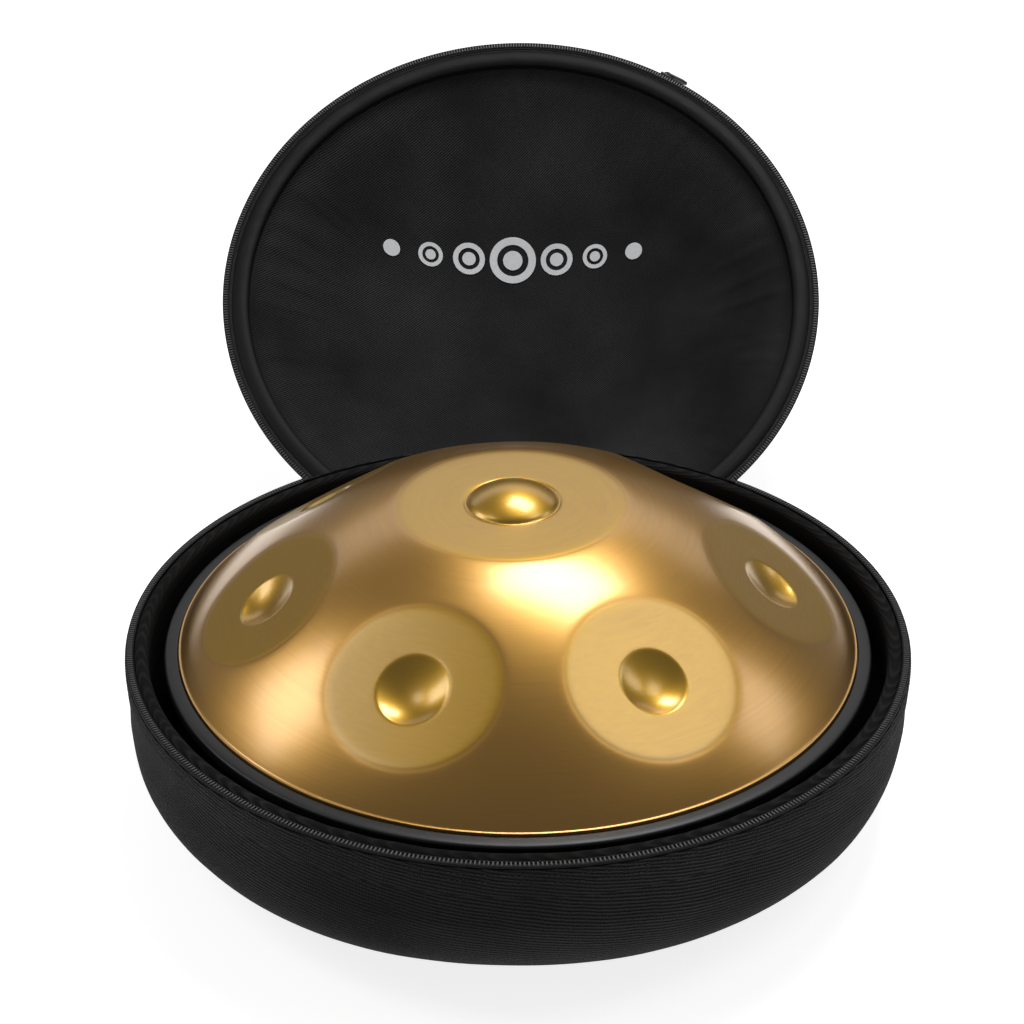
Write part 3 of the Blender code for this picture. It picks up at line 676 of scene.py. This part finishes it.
# One tooth is a small rounded bead across the edge; the row is that bead repeated round the zip.
def toothRow(middle, height, size):
    work = bmesh.new()
    bmesh.ops.create_cube(work, size=1.0)
    bmesh.ops.scale(work, vec=size, verts=work.verts[:])
    bmesh.ops.bevel(work, geom=work.edges[:], offset=min(size) * 0.32, offset_type="OFFSET", affect="EDGES",
                    segments=1, profile=0.5, material=-1)
    bmesh.ops.translate(work, vec=(middle, 0, height), verts=work.verts[:])
    first = -math.pi / 2 - zipper["end"]
    bmesh.ops.rotate(work, cent=(0, 0, 0), matrix=Matrix.Rotation(first, 3, "Z"), verts=work.verts[:])
    count = round(2 * zipper["end"] * middle / zipper["pitch"])
    bmesh.ops.spin(work, geom=work.verts[:] + work.edges[:] + work.faces[:], cent=(0, 0, 0), axis=(0, 0, 1),
                   dvec=(0, 0, 0), angle=2 * zipper["end"], steps=count, use_duplicate=True)
    return work


def arcStrip(outline, steps=220, passes=1):
    first = -math.pi / 2 - zipper["end"]
    return turned(rounded(outline, passes, 0.2), steps, first, 2 * zipper["end"])


# Stitches are short thread beads lying in a dashed line round the case.
def stitchRow(radius, height, length, thickness, gap):
    work = bmesh.new()
    bmesh.ops.create_uvsphere(work, u_segments=6, v_segments=4, radius=0.5)
    bmesh.ops.rotate(work, cent=(0, 0, 0), matrix=Matrix.Rotation(math.pi / 2, 3, "X"), verts=work.verts[:])
    bmesh.ops.scale(work, vec=(thickness, length, thickness), verts=work.verts[:])
    bmesh.ops.translate(work, vec=(radius, 0, height), verts=work.verts[:])
    first = -math.pi / 2 - zipper["end"] + 0.006
    sweep = 2 * zipper["end"] - 0.012
    bmesh.ops.rotate(work, cent=(0, 0, 0), matrix=Matrix.Rotation(first, 3, "Z"), verts=work.verts[:])
    count = round(sweep * radius / (length + gap))
    bmesh.ops.spin(work, geom=work.verts[:] + work.edges[:] + work.faces[:], cent=(0, 0, 0), axis=(0, 0, 1),
                   dvec=(0, 0, 0), angle=sweep, steps=count, use_duplicate=True)
    return work


# What base and lid have alike: the bed, its row of teeth, and the cord sewn along each side of them.
def zipEdge(prefix, body, coilNode, place, outer, heights):
    low, high, toothHeight, cordHeight = heights
    bed = arcStrip([(zipper["inner"], low), (outer, low), (outer, high), (zipper["inner"], high)])
    finish(place(bed), prefix + "ZipBed", tapeWeave, body)
    teeth = toothRow(zipper["middle"], toothHeight, zipper["tooth"])
    finish(place(teeth), prefix + "ZipTeeth", coilNylon, body, [coilNode])
    for label, radius in zipper["cords"]:
        ring = []
        for corner in range(8):
            angle = math.tau * corner / 8
            ring.append((radius + zipper["cordRadius"] * math.cos(angle),
                         cordHeight + zipper["cordRadius"] * math.sin(angle)))
        finish(place(arcStrip(ring, passes=0)), prefix + "ZipCord" + label, tapeWeave, body)


def buildBaseZip():
    tape = dict(outer=0.2902, low=0.1056, slope=0.0004, high=0.1278, rows=(0.1185, 0.1240))
    stitch = dict(length=0.0026, thickness=0.0006, gap=0.0012)
    low = case["wallTop"] + case["gap"]
    tapeIn = case["radius"] + case["gap"]
    band = arcStrip([(tapeIn, tape["low"]), (tape["outer"], tape["low"] + tape["slope"]),
                     (tape["outer"], tape["high"]), (tapeIn, case["wallTop"])])
    finish(band, "baseZipTape", wallTwill, "case_base", ["base_zip_tape"])
    for index, height in enumerate(tape["rows"]):
        row = stitchRow(tape["outer"] + 0.0001, height, **stitch)
        finish(row, "baseTapeStitch%d" % (index + 1), threadCotton, "case_base")
    zipEdge("base", "case_base", "base_zip_coil", lambda work: work, zipper["outer"] + 0.0006,
            (low, low + 0.0008, low + 0.0014, low + 0.0012))


def buildCradle():
    ring = dict(inner=0.150, step=0.004, count=13, clear=0.0010, foot=0.0159)
    radii = [ring["inner"] + ring["step"] * index for index in range(ring["count"])]
    top = offsetLine([Vector((radius, bottomDome(radius))) for radius in radii], -ring["clear"])
    outline = [Vector((top[0].x, ring["foot"])), Vector((top[-1].x, ring["foot"]))] + top[::-1]
    pad = finish(turned(outline, 144), "cradleFoam", padFoam, "case_base", ["cradle_ring"])


baseLayers = buildBase()
buildBaseRoll(baseLayers)
buildBaseZip()
buildCradle()
print("case base ready")


lid = dict(
    radius=0.2870, rise=0.1225, power=1.82, edge=0.0026, foam=0.0055, lining=0.0012,
    arcSteps=48, segments=240, seed=4.0,
)


def lidLine(depth):
    line = []
    for step in range(lid["arcSteps"] + 1):
        angle = math.pi / 2 * step / lid["arcSteps"]
        rise = lid["rise"] * max(math.cos(angle), 0.0) ** lid["power"]
        line.append(Vector((lid["radius"] * math.sin(angle), lid["edge"] + rise)))
    if depth == 0:
        return line
    shifted = offsetLine(line, -depth)
    shifted[0].x = 0.0
    kept = [point for point in shifted if point.y > lid["edge"] + 0.0004]
    last = kept[-1]
    kept.append(Vector((last.x + (last.y - lid["edge"]) * 0.9, lid["edge"])))
    return kept


# The lid is made as if shut, centred on the Z axis over its rim plane, and then swung open.
def placeOnLid(work):
    bmesh.ops.transform(work, matrix=lidOpen @ Matrix.Translation((0, 0, lidSeat)), verts=work.verts[:])
    return work


def lidLayer(near, far, steps):
    return turned(lidLine(near) + lidLine(far)[::-1], steps)


# Height of the lining's face over a point of the rim plane, for what lies on it.
def liningHeight(radius):
    depth = case["cloth"] + case["gap"] + lid["foam"] + case["gap"] + lid["lining"]
    line = lidLine(depth)
    for near, far in zip(line, line[1:]):
        if near.x <= radius <= far.x:
            share = (radius - near.x) / (far.x - near.x)
            return near.y + (far.y - near.y) * share
    return line[-1].y


# Loose lining: low swells all over and short radial creases near the rim, most at the sides. The cloth can only
# lift off its padding, never sink into it.
def pucker(work, seed):
    fold = dict(swell=0.0016, swellScale=8, swellFade=0.02, crease=0.0042, creaseTurns=19, creaseReach=11,
                creaseFade=0.010, start=0.17, run=0.07, rim=0.262, front=0.4)
    for vert in work.verts:
        radius = math.hypot(vert.co.x, vert.co.y)
        angle = math.atan2(vert.co.x, -vert.co.y)
        edge = smoothStep((radius - fold["start"]) / fold["run"])
        turns = fold["creaseTurns"]
        crease = noise.noise(Vector((math.cos(angle) * turns, math.sin(angle) * turns,
                                     radius * fold["creaseReach"] + seed)))
        swell = noise.noise(vert.co * fold["swellScale"] + Vector((seed, 0, 0)))
        side = fold["front"] + (1 - fold["front"]) * abs(math.sin(angle)) ** 2
        lift = fold["swell"] * (swell + 1) * smoothStep((fold["rim"] - radius) / fold["swellFade"])
        gathered = fold["crease"] * side * max(crease, 0) * edge
        lift += gathered * smoothStep((fold["rim"] - radius) / fold["creaseFade"])
        vert.co.z -= lift


def buildLid():
    foamNear = case["cloth"] + case["gap"]
    foamFar = foamNear + lid["foam"]
    liningNear = foamFar + case["gap"]
    work = placeOnLid(lidLayer(0, case["cloth"], lid["segments"]))
    outer = finish(work, "lidCloth", lidTwill, "case_lid", ["lid_outer_panel"])
    work = placeOnLid(lidLayer(foamNear, foamFar, 120))
    pad = finish(work, "lidPad", padFoam, "case_lid", ["lid_foam"])
    work = lidLayer(liningNear, liningNear + lid["lining"], 480)
    pucker(work, lid["seed"])
    lining = finish(placeOnLid(work), "lidLining", liningTwill, "case_lid", ["lid_lining"])


# A broad, soft band of lining between the bowl and the zip, stuffed and gathered.
def buildLidRoll():
    roll = dict(middle=0.27325, half=0.00885, height=0.0056, bulge=0.0052, fullness=0.8, seed=0.3, steps=18,
                clear=0.0003)
    waves = ((9, 0.0007), (21, 0.0004))
    face = []
    for step in range(roll["steps"] + 1):
        angle = math.pi * step / roll["steps"]
        bulge = roll["bulge"] * math.sin(angle) ** roll["fullness"]
        face.append((roll["middle"] + roll["half"] * math.cos(angle), roll["height"] - bulge))
    back = [(0.2644, 0.0084), (0.2646, 0.0104), (0.2660, 0.0116), (0.2700, 0.0086), (0.2760, 0.0066)]
    work = turned([Vector(p) for p in face + back], 360)
    for vert in work.verts:
        if vert.co.z < roll["height"]:
            angle = math.atan2(vert.co.x, -vert.co.y)
            around = Vector((math.cos(angle), math.sin(angle), roll["seed"]))
            depth = (roll["height"] - vert.co.z) / roll["bulge"]
            vert.co.z += depth * sum(amount * noise.noise(around * scale) for scale, amount in waves)
            vert.co.z = max(vert.co.z, roll["clear"])
    piece = finish(placeOnLid(work), "lidRimRoll", rollSatin, "case_lid", ["lid_rim_roll"])


def buildLidZip():
    tape = dict(inner=0.2823, outer=0.2838, low=0.0014, high=0.0023)
    band = arcStrip([(tape["inner"], tape["low"]), (tape["outer"], tape["low"]),
                     (tape["outer"], tape["high"]), (tape["inner"], tape["high"])])
    finish(placeOnLid(band), "lidZipTape", tapeWeave, "case_lid", ["lid_zip_tape"])
    zipEdge("lid", "case_lid", "lid_zip_coil", placeOnLid, zipper["outer"], (0.0014, 0.0022, 0.0008, 0.0010))


# A plan of the notes in place of lettering: rings that grow towards the middle, all of one print on the lining.
def buildPrint():
    motif = dict(side=-0.0085, up=0.0905, thick=0.0004, lift=0.0006, step=0.0395, spread=0.006,
                 sizes=(0.0240, 0.0165, 0.0125, 0.0085), core=0.42, band=0.68, plain=0.01)
    work = bmesh.new()
    for place in range(-3, 4):
        size = motif["sizes"][abs(place)]
        along = motif["side"] + place * motif["step"] + math.copysign(motif["spread"], place) * (place != 0)
        discs = [(size, None)]
        if size > motif["plain"]:
            discs = [(size, size * motif["band"]), (size * motif["core"], None)]
        spot = Matrix.Translation((along, -motif["up"], 0))
        for outside, inside in discs:
            made = bmesh.ops.create_circle(work, cap_ends=True, segments=64, radius=outside, matrix=spot)
            face = made["verts"][0].link_faces[0]
            width = outside - inside if inside else outside * 0.5
            bmesh.ops.inset_region(work, faces=[face], thickness=width, use_boundary=True, use_even_offset=True)
            if inside:
                bmesh.ops.delete(work, geom=[face], context="FACES_ONLY")
    bmesh.ops.delete(work, geom=[vert for vert in work.verts if not vert.link_faces], context="VERTS")
    for vert in work.verts:
        vert.co.z = liningHeight(math.hypot(vert.co.x, vert.co.y)) - motif["lift"]
    pucker(work, lid["seed"])
    bmesh.ops.recalc_face_normals(work, faces=work.faces[:])
    bmesh.ops.solidify(work, geom=work.faces[:], thickness=motif["thick"])
    bmesh.ops.recalc_face_normals(work, faces=work.faces[:])
    finish(placeOnLid(work), "lidPrint", printInk, "case_lid")


buildLid()
buildLidRoll()
buildLidZip()
buildPrint()
print("lid ready")


sliderPlace = dict(azimuth=math.radians(30.7), pin=0.29405, height=0.0048)


def placeOnSlider(work):
    spot = Matrix.Translation(aroundRim(sliderPlace["pin"], sliderPlace["azimuth"], sliderPlace["height"]))
    facing = Matrix.Rotation(sliderPlace["azimuth"] + math.pi, 4, "Z")
    bmesh.ops.transform(work, matrix=spot @ facing, verts=work.verts[:])
    return placeOnLid(work)


def bevelled(work, edges, width, segments):
    bmesh.ops.bevel(work, geom=edges, offset=width, offset_type="OFFSET", affect="EDGES", segments=segments,
                    profile=0.5, material=-1)


def buildSlider():
    body = dict(size=(0.0134, 0.0034, 0.0088), tail=0.72, drop=-0.00315, bevel=0.0013)
    loop = dict(wire=0.00075, width=1.5, radius=0.0043, squash=0.98, drop=-0.0018)
    work = bmesh.new()
    bmesh.ops.create_cube(work, size=1.0)
    bmesh.ops.scale(work, vec=body["size"], verts=work.verts[:])
    for vert in work.verts:
        if vert.co.x < 0:
            vert.co.z *= body["tail"]  # the tail end is narrower than the two-mouthed nose
    bmesh.ops.translate(work, vec=(0, body["drop"], 0), verts=work.verts[:])
    bevelled(work, work.edges[:], body["bevel"], 4)
    bail = bmesh.new()
    section = bmesh.ops.create_circle(bail, cap_ends=False, segments=10, radius=loop["wire"])["verts"]
    bmesh.ops.scale(bail, vec=(1, loop["width"], 1), verts=section)
    bmesh.ops.rotate(bail, cent=(0, 0, 0), matrix=Matrix.Rotation(math.pi / 2, 3, "X"), verts=section)
    bmesh.ops.translate(bail, vec=(loop["radius"], 0, 0), verts=section)
    bmesh.ops.spin(bail, geom=bail.edges[:], cent=(0, 0, 0), axis=(0, 0, 1), dvec=(0, 0, 0), angle=math.pi,
                   steps=18)
    for vert in bail.verts:
        vert.co.y = vert.co.y * loop["squash"] + loop["drop"]
    mesh = bpy.data.meshes.new("bailPart")
    bmesh.ops.recalc_face_normals(bail, faces=bail.faces[:])
    bail.to_mesh(mesh)
    bail.free()
    work.from_mesh(mesh)
    bpy.data.meshes.remove(mesh)
    bmesh.ops.recalc_face_normals(work, faces=work.faces[:])
    finish(placeOnSlider(work), "sliderBody", blackMetal, "slider", ["zip_slider"])


def buildPull():
    tab = dict(length=0.0230, width=0.0064, middle=-0.0107, thick=0.0023, eye=(-0.0075, -0.0010), eyeHalf=0.001,
               tipStart=-0.0165, tipRun=0.0056, taper=0.45, bevel=0.0007, corner=1.0)
    work = bmesh.new()
    bmesh.ops.create_grid(work, x_segments=9, y_segments=3, size=0.5)
    bmesh.ops.scale(work, vec=(tab["length"], tab["width"], 1), verts=work.verts[:])
    bmesh.ops.translate(work, vec=(tab["middle"], 0, 0), verts=work.verts[:])
    # open the eye that straddles the bail, and narrow the tip
    eye = []
    for face in work.faces:
        centre = face.calc_center_median()
        if abs(centre.y) < tab["eyeHalf"] and tab["eye"][0] < centre.x < tab["eye"][1]:
            eye.append(face)
    bmesh.ops.delete(work, geom=eye, context="FACES_ONLY")
    bmesh.ops.delete(work, geom=[edge for edge in work.edges if not edge.link_faces], context="EDGES")
    for vert in work.verts:
        tip = smoothStep((tab["tipStart"] - vert.co.x) / tab["tipRun"])
        vert.co.y *= 1 - tab["taper"] * tip
    bmesh.ops.rotate(work, cent=(0, 0, 0), matrix=Matrix.Rotation(math.pi / 2, 3, "X"), verts=work.verts[:])
    bmesh.ops.recalc_face_normals(work, faces=work.faces[:])
    bmesh.ops.solidify(work, geom=work.faces[:], thickness=tab["thick"])
    middle = sum(vert.co.y for vert in work.verts) / len(work.verts)
    bmesh.ops.translate(work, vec=(0, -middle, 0), verts=work.verts[:])
    bmesh.ops.recalc_face_normals(work, faces=work.faces[:])
    sharp = [edge for edge in work.edges
             if len(edge.link_faces) == 2 and edge.calc_face_angle(0) > tab["corner"]]
    bevelled(work, sharp, tab["bevel"], 3)
    finish(placeOnSlider(work), "pullTab", pullRubber, "pull", ["zip_pull"])


def buildHingeStrip():
    strip = dict(half=0.0600, top=0.0780, thick=0.0011, wall=0.2904, edge=0.2855, seam=0.0012,
                 firstPull=(0, 0.0012, -0.0300), secondPull=(0, -0.0060, 0.0180))
    work = bmesh.new()
    bmesh.ops.create_grid(work, x_segments=24, y_segments=24, size=1.0)
    for vert in work.verts:
        across = vert.co.x * strip["half"]
        share = (1 - vert.co.y) / 2
        rest = 1 - share
        start = Vector((across, math.sqrt(strip["wall"] ** 2 - across ** 2), strip["top"]))
        onLid = Vector((across, math.sqrt(strip["edge"] ** 2 - across ** 2), lidSeat + strip["seam"]))
        end = lidOpen @ onLid
        firstPull = start + Vector(strip["firstPull"])
        secondPull = end + Vector(strip["secondPull"])
        vert.co = start * rest ** 3 + firstPull * 3 * rest ** 2 * share
        vert.co += secondPull * 3 * rest * share ** 2 + end * share ** 3
    bmesh.ops.recalc_face_normals(work, faces=work.faces[:])
    bmesh.ops.solidify(work, geom=work.faces[:], thickness=strip["thick"])
    bmesh.ops.recalc_face_normals(work, faces=work.faces[:])
    piece = finish(work, "hingeStrip", wallTwill, None, ["hinge_gusset"])
    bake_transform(piece)


buildSlider()
buildPull()
buildHingeStrip()

# CAD pieces whose shape is right keep it and get their real finish.
for nodeName, material in (
    ("base_bottom_panel", wallTwill), ("base_foam_floor", padFoam), ("base_lining_floor", wallSatin),
    ("base_zip_stop_left", blackMetal), ("base_zip_stop_right", blackMetal),
    ("lid_zip_stop_left", blackMetal), ("lid_zip_stop_right", blackMetal), ("rim_adhesive", flangeGlue),
):
    mesh = frame["nodes"][nodeName].data
    mesh.materials.clear()
    mesh.materials.append(material)
print("slider, pull and hinge strip ready")
